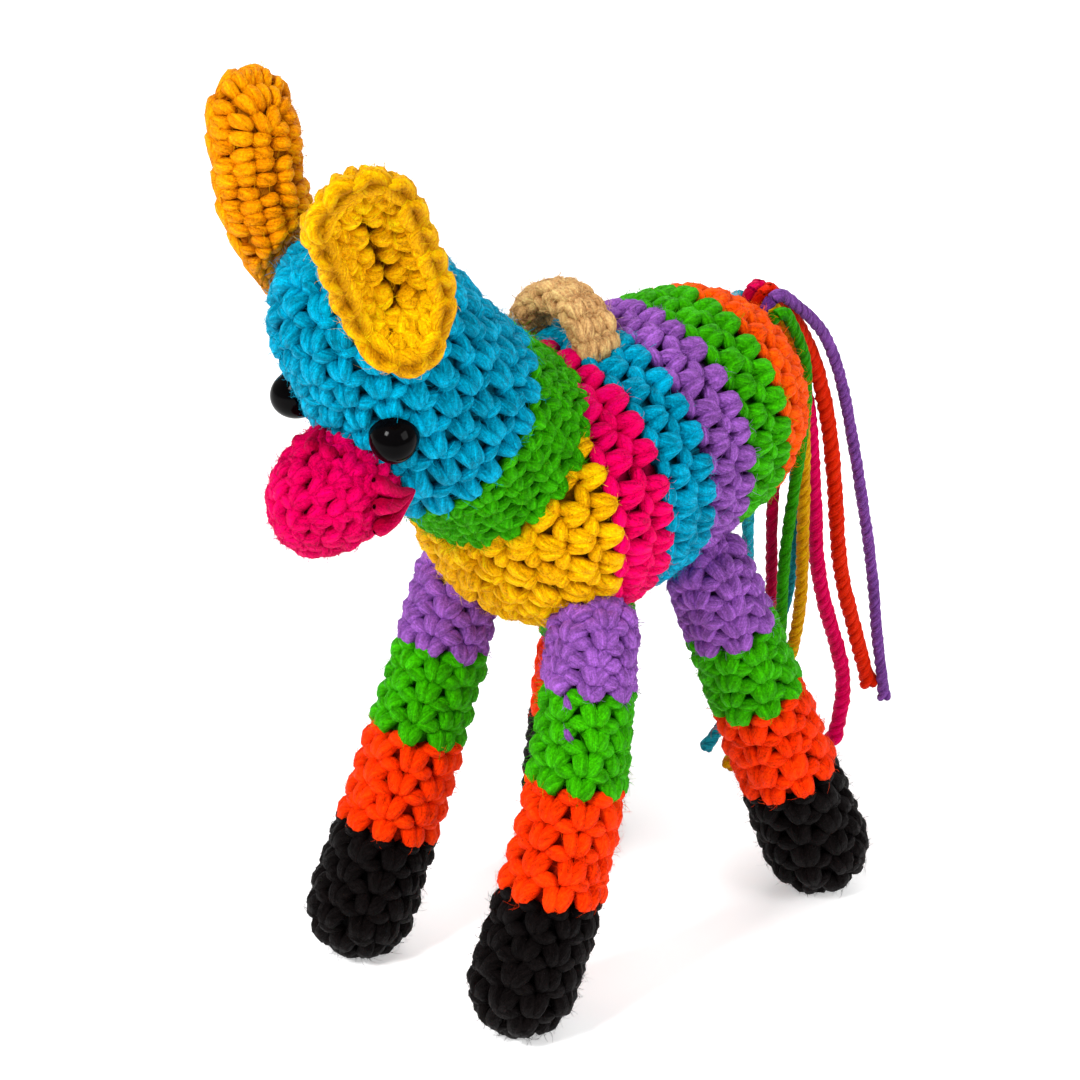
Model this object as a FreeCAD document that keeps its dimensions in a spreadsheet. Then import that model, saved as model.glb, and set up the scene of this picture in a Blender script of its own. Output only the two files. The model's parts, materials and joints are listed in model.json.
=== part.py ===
import FreeCAD, Part
import math
import os
import Sketcher
from FreeCAD import Placement, Rotation, Vector

# Crocheted donkey pinata toy.  Frame: +Z up, the donkey looks along -Y and its left side is +X.
# The design is laid out with X = 0 in the plane of symmetry and Z = 0 on the floor; each
# finished sub-part is then moved by (origin_dx, origin_dy), which puts the origin of the row at
# the middle of the footprint box.  All sizes are in millimetres.

DIMENSIONS = {
    # body: chest ball, long back arc and rump ball, on an axis that rises towards the tail
    "axis_height": 89.3, "body_pitch": 7.0,
    "chest_radius": 24.2, "chest_station": -10.0, "back_radius": 192.0, "rump_radius": 21.2,
    "fabric": 3.0, "band_start": -15.3, "band_width": 10.55,
    # head: crown ball, jaw ball and neck tube
    "crown_y": -50.0, "crown_z": 129.5, "crown_radius": 15.8,
    "jaw_y": -38.0, "jaw_z": 112.0, "jaw_radius": 18.3,
    "neck_length": 30.0, "cap_edge": 6.5, "neck_gap": 0.5,
    # muzzle
    "muzzle_y": -58.0, "muzzle_z": 101.8, "muzzle_long": 11.5, "muzzle_wide": 10.6,
    # safety eyes
    "eye_radius": 4.0, "eye_height": 4.6, "eye_x": 13.0, "eye_y": -56.0, "eye_z": 113.0,
    "post_radius": 1.5, "post_length": 9.0, "washer_radius": 4.6, "washer_thick": 1.4,
    "washer_depth": 3.9,
    # ears
    "ear_length": 39.0, "ear_width": 20.0, "ear_depth": 8.0, "ear_fabric": 3.4, "ear_gap": 1.2,
    # legs
    "leg_radius": 9.0, "hoof_radius": 9.5, "front_leg": 62.0, "rear_leg": 64.0, "sole_flat": 0.8,
    "purple_end": 13.0, "green_end": 29.0, "orange_end": 47.5, "hip_gap": 0.4,
    # hanging loop
    "loop_x": -2.5, "loop_y": -4.6, "loop_z": 111.7, "loop_outer": 10.8, "loop_inner": 6.8,
    "loop_wide": 6.4, "loop_foot": 3.6,
    # tail
    "knot_elevation": 40.0, "knot_reach": 25.0, "knot_wide": 7.6, "knot_radius": 3.4,
    "yarn_radius": 1.1,
    # placing of the design in the row frame
    "origin_dx": 3.25, "origin_dy": 13.28,
}

# name, length from hip to foot centre, hip x, hip y, foot x, foot y; the hip height follows
LEGS = (
    ("front_left", "front_leg", 17.5, -17.0, 18.5, -34.0),
    ("front_right", "front_leg", -16.0, -16.0, -19.5, -37.0),
    ("rear_left", "rear_leg", 14.0, 14.0, 20.5, 36.5),
    ("rear_right", "rear_leg", -14.0, 14.0, -27.0, 22.0),
)

# name, base point on the crown, direction of the length, direction the hollow faces
EARS = (
    ("left", Vector(15.4, -52.0, 127.5), Vector(0.08, -0.44, 0.89), Vector(0.75, -0.52, 0.30)),
    ("right", Vector(-15.2, -53.5, 127.5), Vector(-0.20, 0.04, 0.97), Vector(-0.95, 0.18, 0.20)),
)

# Routes of the tail strands, from the knot to the cut end, in the design frame.
STRANDS = (
    ("purple", ((2.7, 42.4, 107.8), (2.5, 50.5, 101.8), (2.0, 57.5, 92.5), (1.5, 62.5, 79.0),
                (1.0, 67.8, 60.0), (1.0, 71.6, 43.5), (1.0, 73.6, 29.0), (1.2, 76.2, 16.0))),
    ("red", ((0.0, 42.4, 107.8), (-0.3, 49.3, 100.6), (-0.8, 54.8, 92.0), (-1.0, 59.4, 80.5),
             (-1.0, 62.5, 64.0), (-1.0, 64.2, 47.0), (-1.2, 69.6, 31.5), (-1.0, 74.0, 19.0))),
    ("pink", ((-2.7, 42.4, 107.8), (-2.9, 48.8, 100.3), (-3.0, 53.2, 92.0), (-3.0, 57.0, 80.0),
              (-3.0, 59.2, 62.0), (-3.2, 61.0, 44.0), (-3.0, 67.2, 28.0), (-3.0, 70.2, 17.0),
              (-3.2, 67.2, 8.5))),
    ("yellow", ((2.7, 40.8, 105.6), (2.7, 45.8, 98.6), (2.4, 48.2, 90.5), (1.4, 51.2, 78.0),
                (0.4, 52.6, 62.0), (0.0, 53.4, 46.0), (-2.2, 54.2, 32.0), (-5.0, 49.6, 20.5),
                (-7.5, 42.8, 10.5))),
    ("turquoise", ((-2.7, 40.8, 105.6), (-2.7, 45.8, 98.6), (-2.7, 48.4, 90.0),
                   (-2.2, 52.0, 77.0), (-2.2, 53.6, 62.5), (-3.2, 54.6, 48.0),
                   (-6.0, 53.0, 33.5), (-9.0, 47.6, 22.0), (-12.0, 41.6, 13.0))),
    ("green", ((5.4, 40.8, 105.6), (5.6, 45.4, 98.4), (5.3, 47.2, 90.0), (3.8, 47.8, 78.0),
               (2.4, 47.0, 65.0), (2.0, 45.8, 52.0), (1.4, 46.6, 40.0), (0.4, 45.2, 28.0),
               (-0.6, 44.2, 18.0))),
    ("crimson", ((0.0, 40.8, 105.6), (0.0, 45.6, 98.6), (-0.2, 46.9, 90.5), (-0.6, 46.8, 78.0),
                 (-1.2, 45.8, 65.0), (-1.8, 47.2, 49.0), (-3.2, 48.4, 34.0),
                 (-3.4, 47.4, 21.0))),
    ("teal", ((-5.4, 40.8, 105.6), (-5.6, 45.4, 98.4), (-5.3, 46.6, 90.0), (-4.6, 44.8, 78.0),
              (-3.6, 42.4, 67.0), (-3.0, 41.8, 56.0), (-3.4, 43.0, 44.0), (-5.0, 41.8, 31.0))),
)

SLICE = 120.0       # size of the blocks that split a shape; larger than the whole body
INSET = " - Sizes.fabric"       # the end of a size expression for the inside of a shell
CORNER_SHARE = 0.45             # share of the shorter run that the arc at a corner takes up

doc = FreeCAD.newDocument("donkey_pinata")
sheet = doc.addObject("Spreadsheet::Sheet", "Sizes")
for row, (alias, value) in enumerate(DIMENSIONS.items(), start=1):
    sheet.set("A%d" % row, alias)
    sheet.set("B%d" % row, str(value))
    sheet.setAlias("B%d" % row, alias)
doc.recompute()

dim = {alias: float(getattr(sheet, alias)) for alias in DIMENSIONS}
subparts = []


def add(kind, name, sizes=None, placement=None):
    """A document object whose sizes are expressions on the sheet."""
    made = doc.addObject(kind, name)
    for prop, expression in (sizes or {}).items():
        made.setExpression(prop, expression)
    if placement is not None:
        made.Placement = placement
    return made


def cut(name, base, tool):
    made = doc.addObject("Part::Cut", name)
    made.Base = base
    made.Tool = tool
    return made


def common(name, base, tool):
    made = doc.addObject("Part::Common", name)
    made.Base = base
    made.Tool = tool
    return made


def fuse(name, shapes):
    made = doc.addObject("Part::MultiFuse", name)
    made.Shapes = shapes
    return made


def copy_of(name, source):
    """A refined copy, for a sub-part whose own solid is placed or is the tool of a cut."""
    made = doc.addObject("Part::Refine", name)
    made.Source = source
    return made


def ball(name, radius, centre):
    return add("Part::Sphere", name, {"Radius": radius}, Placement(centre, Rotation()))


def finish(label, shape):
    """Name a finished sub-part and move it from the design frame to the row frame.

    The shape has no placement of its own yet, and no cut uses it as its tool.
    """
    shape.Label = label
    shape.setExpression("Placement.Base.x", "Sizes.origin_dx")
    shape.setExpression("Placement.Base.y", "Sizes.origin_dy")
    subparts.append(shape)
    return shape


def along(direction):
    """Rotation that turns +Z to the direction."""
    return Rotation(Vector(0, 0, 1), direction)


# ---------------------------------------------------------------- body
pitch = math.radians(dim["body_pitch"])
body_axis = Vector(0, math.cos(pitch), math.sin(pitch))
body_middle = Vector(0, 0, dim["axis_height"])
chest_centre = body_middle + body_axis * dim["chest_station"]
# the rump ball lies inside the back arc and touches it
back_drop = dim["back_radius"] - dim["chest_radius"]
rump_offset = math.sqrt((dim["back_radius"] - dim["rump_radius"]) ** 2 - back_drop ** 2)
rump_station = dim["chest_station"] + rump_offset
rump_centre = body_middle + body_axis * rump_station
# the profile is drawn with its X along the body and turned so that X becomes the body axis
body_frame = Placement(body_middle, Rotation(body_axis, Vector(1, 0, 0), Vector(), "XYZ"))


def body_egg(name, inset):
    """Revolve chest arc, back arc and rump arc, all moved inwards by the inset."""
    chest = dim["chest_radius"] - inset
    back = dim["back_radius"] - inset
    rump = dim["rump_radius"] - inset
    start = dim["chest_station"]
    lean = math.atan2(rump_offset, back_drop)
    up = Vector(0, 0, 1)
    sketch = doc.addObject("Sketcher::SketchObject", name + "_profile")
    sketch.addGeometry(Part.ArcOfCircle(
        Part.Circle(Vector(start, 0, 0), up, chest), math.pi / 2, math.pi))
    sketch.addGeometry(Part.ArcOfCircle(
        Part.Circle(Vector(start, -back_drop, 0), up, back), math.pi / 2 - lean, math.pi / 2))
    sketch.addGeometry(Part.ArcOfCircle(
        Part.Circle(Vector(rump_station, 0, 0), up, rump), 0, math.pi / 2 - lean))
    sketch.addGeometry(Part.LineSegment(
        Vector(rump_station + rump, 0, 0), Vector(start - chest, 0, 0)))
    first, last, centre = 1, 2, 3
    for relation in (
            ("Tangent", 0, first, 1, last), ("Tangent", 1, first, 2, last),
            ("Coincident", 2, first, 3, first), ("Coincident", 3, last, 0, last),
            ("PointOnObject", 0, centre, -1), ("PointOnObject", 2, centre, -1),
            ("PointOnObject", 3, first, -1), ("PointOnObject", 3, last, -1),
            ("Vertical", 0, centre, 1, centre)):
        sketch.addConstraint(Sketcher.Constraint(*relation))
    inset_text = INSET if inset else ""
    for index, value, alias in ((0, chest, "chest_radius"), (1, back, "back_radius"),
                                (2, rump, "rump_radius")):
        number = sketch.addConstraint(Sketcher.Constraint("Radius", index, value))
        sketch.setExpression("Constraints[%d]" % number, "Sizes.%s%s" % (alias, inset_text))
    egg = doc.addObject("Part::Revolution", name)
    egg.Source = sketch
    egg.Axis = Vector(1, 0, 0)
    egg.Angle = 360
    egg.Solid = True
    return egg


# Legs: hip and foot centres.
foot_height = dim["hoof_radius"] - dim["sole_flat"]


def leg_points(length, hip_x, hip_y, foot_x, foot_y):
    spread = (hip_x - foot_x) ** 2 + (hip_y - foot_y) ** 2
    rise = math.sqrt(dim[length] ** 2 - spread)
    return Vector(hip_x, hip_y, foot_height + rise), Vector(foot_x, foot_y, foot_height)


hips = {name: leg_points(*numbers) for name, *numbers in LEGS}


def hip_balls(name, radius):
    return fuse(name, [ball(name + "_" + leg, radius, hip) for leg, (hip, foot) in hips.items()])


# The fabric is pressed into a dimple under each leg, so it stays whole there.
sockets = hip_balls("Socket", "Sizes.leg_radius + Sizes.hip_gap")
socket_linings = hip_balls("SocketLining", "Sizes.leg_radius + Sizes.hip_gap + Sizes.fabric")
body_outer = body_egg("BodyOuter", 0)
body_inner = body_egg("BodyInner", dim["fabric"])
body_outer.Placement = body_frame
body_inner.Placement = body_frame
body_filling = cut("BodyFilling", body_inner, socket_linings)
body_shell = cut("BodyShell", cut("BodyDimpled", body_outer, sockets), body_filling)


def band(label, start, end):
    """The part of the body shell between two stations along the body axis."""
    disc = add("Part::Cylinder", label + "_disc", {"Radius": "2 * Sizes.chest_radius"},
               Placement(body_middle + body_axis * start, along(body_axis)))
    disc.Height = end - start
    return finish(label, common(label + "_piece", body_shell, disc))


band_edges = [dim["band_start"] + dim["band_width"] * count for count in range(5)]
band("body_chest_yellow", -SLICE, band_edges[0])
for colour, start, end in zip(("pink", "turquoise", "purple", "green"),
                              band_edges[:-1], band_edges[1:]):
    band("body_band_" + colour, start, end)
band("body_rump_orange", band_edges[-1], SLICE)
finish("body_stuffing", copy_of("BodyStuffing", body_filling))

# Hanging loop: a wide strap bent over the back, a little to the right, standing on the fabric.
loop_frame = Placement(
    Vector(dim["loop_x"], dim["loop_y"] + dim["loop_wide"] / 2, dim["loop_z"]),
    along(Vector(0, -1, 0)))
loop_ring = cut(
    "LoopRing",
    add("Part::Cylinder", "LoopOuter",
        {"Radius": "Sizes.loop_outer", "Height": "Sizes.loop_wide"}, loop_frame),
    add("Part::Cylinder", "LoopInner",
        {"Radius": "Sizes.loop_inner", "Height": "Sizes.loop_wide"}, loop_frame))
loop_block = add("Part::Box", "LoopBlock", placement=Placement(
    Vector(-SLICE / 2, -SLICE / 2, dim["loop_z"] - dim["loop_foot"] - SLICE), Rotation()))
loop_block.Length = SLICE
loop_block.Width = SLICE
loop_block.Height = SLICE
finish("hanging_loop", cut("LoopStrap", cut("LoopArch", loop_ring, loop_block), body_outer))

# ---------------------------------------------------------------- head
crown = Vector(0, dim["crown_y"], dim["crown_z"])
jaw = Vector(0, dim["jaw_y"], dim["jaw_z"])
neck_axis = (chest_centre - jaw).normalize()
face_axis = (jaw - crown).normalize()


def head_solid(name, less):
    """Crown ball, jaw ball, the taper between them and the neck tube."""
    taper = add("Part::Cone", name + "Taper", {
        "Radius1": "Sizes.crown_radius" + less, "Radius2": "Sizes.jaw_radius" + less},
        Placement(crown, along(face_axis)))
    taper.Height = crown.distanceToPoint(jaw)
    neck = add("Part::Cylinder", name + "Neck", {
        "Radius": "Sizes.jaw_radius" + less, "Height": "Sizes.neck_length"},
        Placement(jaw, along(neck_axis)))
    return fuse(name, [
        ball(name + "Crown", "Sizes.crown_radius" + less, crown), taper,
        ball(name + "Jaw", "Sizes.jaw_radius" + less, jaw), neck])


chest_clearance = ball("ChestClearance", "Sizes.chest_radius + Sizes.neck_gap", chest_centre)
head_outer = head_solid("HeadOuter", "")
head_inner = head_solid("HeadInner", INSET)

# Safety eyes: a domed cap on a post that a washer holds from the inside.
EYE_SIDES = (("left", 1), ("right", -1))


def eye_frame(side):
    """Placement of an eye on the face, with +Z pointing out of the head."""
    aim = Vector(side * dim["eye_x"], dim["eye_y"], dim["eye_z"])
    run = (aim - crown).dot(face_axis)
    foot = crown + face_axis * run
    slope = (dim["jaw_radius"] - dim["crown_radius"]) / crown.distanceToPoint(jaw)
    radius = dim["crown_radius"] + slope * run
    outward = (aim - foot).normalize()
    normal = (outward - face_axis * slope).normalize()
    return Placement(foot + outward * radius, along(normal))


hardware = []
for side_name, side in EYE_SIDES:
    frame = eye_frame(side)
    post_frame = frame.multiply(Placement(Vector(0, 0, -dim["post_length"]), Rotation()))
    washer_frame = frame.multiply(
        Placement(Vector(0, 0, -dim["washer_depth"] - dim["washer_thick"]), Rotation()))
    cap = add("Part::Ellipsoid", "EyeCap_" + side_name, {
        "Radius1": "Sizes.eye_height", "Radius2": "Sizes.eye_radius",
        "Radius3": "Sizes.eye_radius"}, frame)
    cap.Angle1 = 0
    post = add("Part::Cylinder", "EyePost_" + side_name, {
        "Radius": "Sizes.post_radius", "Height": "Sizes.post_length"}, post_frame)
    disc = add("Part::Cylinder", "WasherDisc_" + side_name, {
        "Radius": "Sizes.washer_radius", "Height": "Sizes.washer_thick"}, washer_frame)
    finish("eye_" + side_name, fuse("Eye_" + side_name, [cap, post]))
    finish("eye_washer_" + side_name, cut("Washer_" + side_name, disc, post))
    hardware += [post, disc]
hardware = fuse("EyeHardware", hardware)

head_shell = cut("HeadShell", cut("HeadSkin", head_outer, head_inner), chest_clearance)
# a block whose lower face is the plane of the colour change splits cap from neck
neck_block = add("Part::Cylinder", "NeckBlock", placement=Placement(
    jaw + neck_axis * dim["cap_edge"], along(neck_axis)))
neck_block.Radius = SLICE
neck_block.Height = SLICE
finish("head_cap_turquoise", cut(
    "HeadCap", cut("HeadCapBlank", head_shell, neck_block), hardware))
finish("neck_band_green", common("NeckBand", head_shell, neck_block))
finish("head_stuffing", cut(
    "HeadFilling", cut("HeadFillingBlank", head_inner, chest_clearance), hardware))

muzzle_centre = Vector(0, dim["muzzle_y"], dim["muzzle_z"])
muzzle_frame = Placement(muzzle_centre, along((muzzle_centre - jaw).normalize()))


def muzzle_solid(name, less):
    return add("Part::Ellipsoid", name, {
        "Radius1": "Sizes.muzzle_long" + less, "Radius2": "Sizes.muzzle_wide" + less,
        "Radius3": "Sizes.muzzle_wide" + less}, muzzle_frame)


muzzle_outer = muzzle_solid("MuzzleOuter", "")
muzzle_inner = muzzle_solid("MuzzleInner", INSET)
finish("muzzle_pink", cut(
    "MuzzleCup", cut("MuzzleSkin", muzzle_outer, muzzle_inner), head_outer))
finish("muzzle_stuffing", cut("MuzzleFilling", muzzle_inner, head_outer))

# ---------------------------------------------------------------- ears
crown_clearance = ball("CrownClearance", "Sizes.crown_radius + Sizes.ear_gap", crown)
for side_name, base, length_axis, face in EARS:
    length_axis = Vector(length_axis).normalize()
    back = (length_axis * length_axis.dot(face) - face).normalize()
    turn = Rotation(Vector(), back, length_axis, "ZYX")
    middle = base + length_axis * (dim["ear_length"] / 2)
    frame = Placement(middle, turn)
    outer = add("Part::Ellipsoid", "EarOuter_" + side_name, {
        "Radius1": "Sizes.ear_length / 2", "Radius2": "Sizes.ear_width / 2",
        "Radius3": "Sizes.ear_depth"}, frame)
    inner = add("Part::Ellipsoid", "EarInner_" + side_name, {
        "Radius1": "Sizes.ear_length / 2 - Sizes.ear_fabric",
        "Radius2": "Sizes.ear_width / 2 - Sizes.ear_fabric",
        "Radius3": "Sizes.ear_depth - Sizes.ear_fabric"}, frame)
    # the block covers the side that the hollow faces
    block = add("Part::Box", "EarBlock_" + side_name, placement=frame.multiply(
        Placement(Vector(-SLICE / 2, -SLICE, -SLICE / 2), Rotation())))
    block.Length = SLICE
    block.Width = SLICE
    block.Height = SLICE
    cup = cut("EarCup_" + side_name, cut("EarHalf_" + side_name, outer, block), inner)
    finish("ear_" + side_name, cut("Ear_" + side_name, cup, crown_clearance))

# ---------------------------------------------------------------- legs
floor_block = add("Part::Box", "FloorBlock", placement=Placement(
    Vector(-SLICE / 2, -SLICE / 2, -SLICE), Rotation()))
floor_block.Length = SLICE
floor_block.Width = SLICE
floor_block.Height = SLICE


def leg_bar(name, frame, start, end, less):
    """A round bar on the leg axis; start and end name distances from the hip."""
    height = "Sizes.%s" % end
    offset = Vector()
    if start:
        height += " - Sizes.%s" % start
        offset.z = dim[start]
    return add("Part::Cylinder", name, {
        "Radius": "Sizes.leg_radius" + less, "Height": height},
        frame.multiply(Placement(offset, Rotation())))


leg_sizes = {name: length for name, length, *numbers in LEGS}
for leg_name, (hip, foot) in hips.items():
    leg_length = leg_sizes[leg_name]
    frame = Placement(hip, along((foot - hip).normalize()))
    tag = "_" + leg_name
    core = fuse("LegCore" + tag, [
        ball("LegCoreTop" + tag, "Sizes.leg_radius" + INSET, hip),
        leg_bar("LegCoreBar" + tag, frame, None, leg_length, INSET),
        ball("LegCoreFoot" + tag, "Sizes.hoof_radius" + INSET, foot)])
    thigh = fuse("Thigh" + tag, [
        ball("ThighTop" + tag, "Sizes.leg_radius", hip),
        leg_bar("ThighBar" + tag, frame, None, "purple_end", "")])
    hoof_cone = add("Part::Cone", "HoofCone" + tag, {
        "Radius1": "Sizes.leg_radius", "Radius2": "Sizes.hoof_radius",
        "Height": "Sizes.%s - Sizes.orange_end" % leg_length},
        frame.multiply(Placement(Vector(0, 0, dim["orange_end"]), Rotation())))
    hoof = fuse("HoofBlank" + tag, [
        hoof_cone, ball("HoofBall" + tag, "Sizes.hoof_radius", foot)])
    label = "leg" + tag
    finish(label + "_purple", cut("Purple" + tag, thigh, core))
    finish(label + "_green", cut("Green" + tag, leg_bar(
        "GreenBar" + tag, frame, "purple_end", "green_end", ""), core))
    finish(label + "_orange", cut("Orange" + tag, leg_bar(
        "OrangeBar" + tag, frame, "green_end", "orange_end", ""), core))
    finish(label + "_hoof", cut("Hoof" + tag, cut("HoofShell" + tag, hoof, core), floor_block))
    finish(label + "_stuffing", copy_of("LegStuffing" + tag, core))

# ---------------------------------------------------------------- tail
elevation = math.radians(dim["knot_elevation"])
knot_centre = rump_centre + Vector(0, math.cos(elevation), math.sin(elevation)) * dim["knot_reach"]
knot_blank = add("Part::Ellipsoid", "TailKnotBlank", {
    "Radius1": "Sizes.knot_wide", "Radius2": "Sizes.knot_radius",
    "Radius3": "Sizes.knot_radius"}, Placement(knot_centre, along(Vector(1, 0, 0))))
finish("tail_knot", copy_of("TailKnot", knot_blank))


def rounded_path(points):
    """Straight runs joined by tangent arcs, each as large as its two runs allow."""
    edges = []
    radii = []
    start = points[0]
    for before, corner, after in zip(points, points[1:], points[2:]):
        arriving = (corner - before).normalize()
        leaving = (after - corner).normalize()
        half_turn = arriving.getAngle(leaving) / 2
        shorter = min(before.distanceToPoint(corner), corner.distanceToPoint(after))
        trim = CORNER_SHARE * shorter
        radius = trim / math.tan(half_turn)
        enter = corner - arriving * trim
        leave = corner + leaving * trim
        inward = (leaving - arriving).normalize()
        middle = corner + inward * (radius / math.cos(half_turn) - radius)
        edges.append(Part.LineSegment(start, enter).toShape())
        edges.append(Part.Arc(enter, middle, leave).toShape())
        radii.append(radius)
        start = leave
    edges.append(Part.LineSegment(start, points[-1]).toShape())
    return Part.Wire(edges), radii


for colour, route in STRANDS:
    points = [Vector(*point) for point in route]
    path, radii = rounded_path(points)
    section = Part.Wire([Part.Circle(
        points[0], points[1] - points[0], dim["yarn_radius"]).toShape()])
    strand = doc.addObject("Part::Feature", "Strand_" + colour)
    strand.Shape = path.makePipeShell([section], True, True)
    expected = math.pi * dim["yarn_radius"] ** 2 * path.Length
    print("strand %-10s length %6.1f  volume %6.1f of %6.1f  least radius %5.1f" % (
        colour, path.Length, strand.Shape.Volume, expected, min(radii)))
    finish("tail_strand_" + colour, strand)

# ---------------------------------------------------------------- check and write
doc.recompute()
for item in doc.Objects:
    if "Invalid" in item.State or "Error" in item.State:
        raise RuntimeError("%s: %s" % (item.Name, item.State))
os.makedirs("parts", exist_ok=True)
for item in subparts:
    if item.Shape.isNull() or not item.Shape.isValid():
        raise RuntimeError("bad shape: " + item.Label)
    if len(item.Shape.Solids) != 1:
        raise RuntimeError("%s has %d solids" % (item.Label, len(item.Shape.Solids)))
    item.Shape.exportStep(os.path.join("parts", item.Label + ".step"))
box = FreeCAD.BoundBox()
for item in subparts:
    if not item.Label.startswith("tail_strand"):
        box.add(item.Shape.optimalBoundingBox())
print("%d sub-parts" % len(subparts))
print("box without strands: x %.2f %.2f  y %.2f %.2f  z %.2f %.2f" % (
    box.XMin, box.XMax, box.YMin, box.YMax, box.ZMin, box.ZMax))
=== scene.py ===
import json
import math

import bpy
import numpy as np
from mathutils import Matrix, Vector


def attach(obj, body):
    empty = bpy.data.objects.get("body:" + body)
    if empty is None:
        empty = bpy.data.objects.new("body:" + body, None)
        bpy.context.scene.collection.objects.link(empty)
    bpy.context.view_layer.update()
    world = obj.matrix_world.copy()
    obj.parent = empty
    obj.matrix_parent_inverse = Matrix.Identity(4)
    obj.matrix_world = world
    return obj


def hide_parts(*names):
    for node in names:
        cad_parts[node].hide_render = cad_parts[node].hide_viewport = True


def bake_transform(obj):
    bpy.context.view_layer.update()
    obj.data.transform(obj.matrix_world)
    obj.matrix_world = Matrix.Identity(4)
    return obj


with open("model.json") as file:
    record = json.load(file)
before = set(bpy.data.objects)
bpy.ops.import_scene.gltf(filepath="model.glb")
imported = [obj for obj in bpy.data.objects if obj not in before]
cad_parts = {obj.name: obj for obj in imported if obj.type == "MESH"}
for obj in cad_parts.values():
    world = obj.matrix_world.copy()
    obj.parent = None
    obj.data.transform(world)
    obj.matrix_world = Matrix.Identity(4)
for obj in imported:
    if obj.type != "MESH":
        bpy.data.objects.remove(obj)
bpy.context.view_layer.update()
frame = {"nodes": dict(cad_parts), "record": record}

# Crocheted donkey pinata toy, built stitch by stitch around the imported CAD.
# Every coloured stretch of crochet is a mesh of yarn tubes: each single crochet is a V of two
# puffy legs and a loop that runs behind the next round, over a lining of the same yarn,
# darkened as painted shade.
# Lengths are in metres, written as millimetres times MM.  ORIGIN takes points from the design
# frame of the CAD source, where X = 0 is the plane of symmetry, to the frame of the pack.

MM = 0.001
ORIGIN = np.array((3.25, 13.28, 0.0)) * MM
JOINT = {j["name"]: np.array(j["pos_m"]) for j in frame["record"]["behaviour"]["joints"]}
UP = np.array((0.0, 0.0, 1.0))
ACROSS = np.array((1.0, 0.0, 0.0))

# yarn and stitch sizes
STITCH_WIDE = 5.1 * MM
STITCH_DEPTH = 2.0 * MM       # from the outside of the crochet to the middle of its yarn
YARN_RADIUS = 1.1 * MM        # the loose strands of the tail
PLY_PITCH = 4.6 * MM          # length of yarn in which a ply goes once round
PLIES = 3
SLIVER = 0.01 * MM            # keeps two linings from sharing an edge

# body, as in the CAD source
CHEST_RADIUS, BACK_RADIUS, RUMP_RADIUS = 24.2 * MM, 192.0 * MM, 21.2 * MM
CHEST_STATION, RUMP_STATION = -10.0 * MM, 21.87 * MM
BODY_PITCH = math.radians(7.0)
BAND_START, BAND_WIDTH = -15.3 * MM, 10.55 * MM
# head
CROWN = np.array((0.0, -50.0, 129.5)) * MM + ORIGIN
JAW = np.array((0.0, -38.0, 112.0)) * MM + ORIGIN
CROWN_RADIUS, JAW_RADIUS, CAP_EDGE, NECK_END = 15.8 * MM, 18.3 * MM, 6.5 * MM, 21.5 * MM
MUZZLE = np.array((0.0, -58.0, 101.8)) * MM + ORIGIN
MUZZLE_LONG, MUZZLE_WIDE = 11.9 * MM, 10.1 * MM     # 0.4 longer, 0.5 narrower than in CAD
# legs
LEG_RADIUS, HOOF_RADIUS = 9.0 * MM, 9.5 * MM
PURPLE_END, GREEN_END, ORANGE_END = 13.0 * MM, 29.0 * MM, 47.5 * MM
FOOT_HEIGHT = 8.7 * MM
# in mm: the foot, and how far the middle of the leg lies off its straight line
LEGS = {
    "front_left": ((18.5, -34.0), (1.6, 1.4, 0.0)),
    "front_right": ((-19.5, -37.0), (0.4, 0.5, 0.0)),
    "rear_left": ((20.5, 36.5), (-0.6, 0.4, 0.0)),
    "rear_right": ((-27.0, 22.0), (0.3, 0.0, 0.0)),
}
# ears: direction of the length, direction that the hollow faces, yarn, width of the base as a
# share of the full width, full width against the CAD's, and how far the end leans sideways
EAR_LONG, EAR_WIDE, EAR_DEEP = 39.0 * MM, 20.0 * MM, 8.0 * MM
EARS = {
    "left": ((0.08, -0.44, 0.89), (0.75, -0.52, 0.30), "yellow", 0.80, 0.95, 0.0 * MM),
    "right": ((-0.20, 0.04, 0.97), (-0.95, 0.18, 0.20), "ochre", 0.22, 0.80, 2.0 * MM),
}


def unit(vector):
    vector = np.asarray(vector, float)
    return vector / np.linalg.norm(vector, axis=-1, keepdims=True)


def put_in_scene(name, data):
    """A new object that holds the data, in the scene."""
    made = bpy.data.objects.new(name, data)
    bpy.context.collection.objects.link(made)
    return made


def ring_faces(grid, closed=False):
    """Four-sided faces between neighbouring rings of the grid (..., rings, points of a ring)."""
    a, b = (grid, np.roll(grid, -1, -2)) if closed else (grid[..., :-1, :], grid[..., 1:, :])
    faces = np.stack([a, np.roll(a, -1, -1), np.roll(b, -1, -1), b], axis=-1)
    return faces.reshape(-1, 4)


# ---- camera
VIEW_TURN, VIEW_RISE = math.radians(45.5), math.radians(25.4)
VIEW_DISTANCE = 650.0 * MM
VIEW_LENS, VIEW_SENSOR = 127.8, 36.0    # mm
TOY_MIDDLE = np.array((0.0, 0.0, 80.0)) * MM + ORIGIN
VIEW_AIM = (-9.0 * MM, -5.6 * MM)       # to the right of and above the middle of the toy


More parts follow.
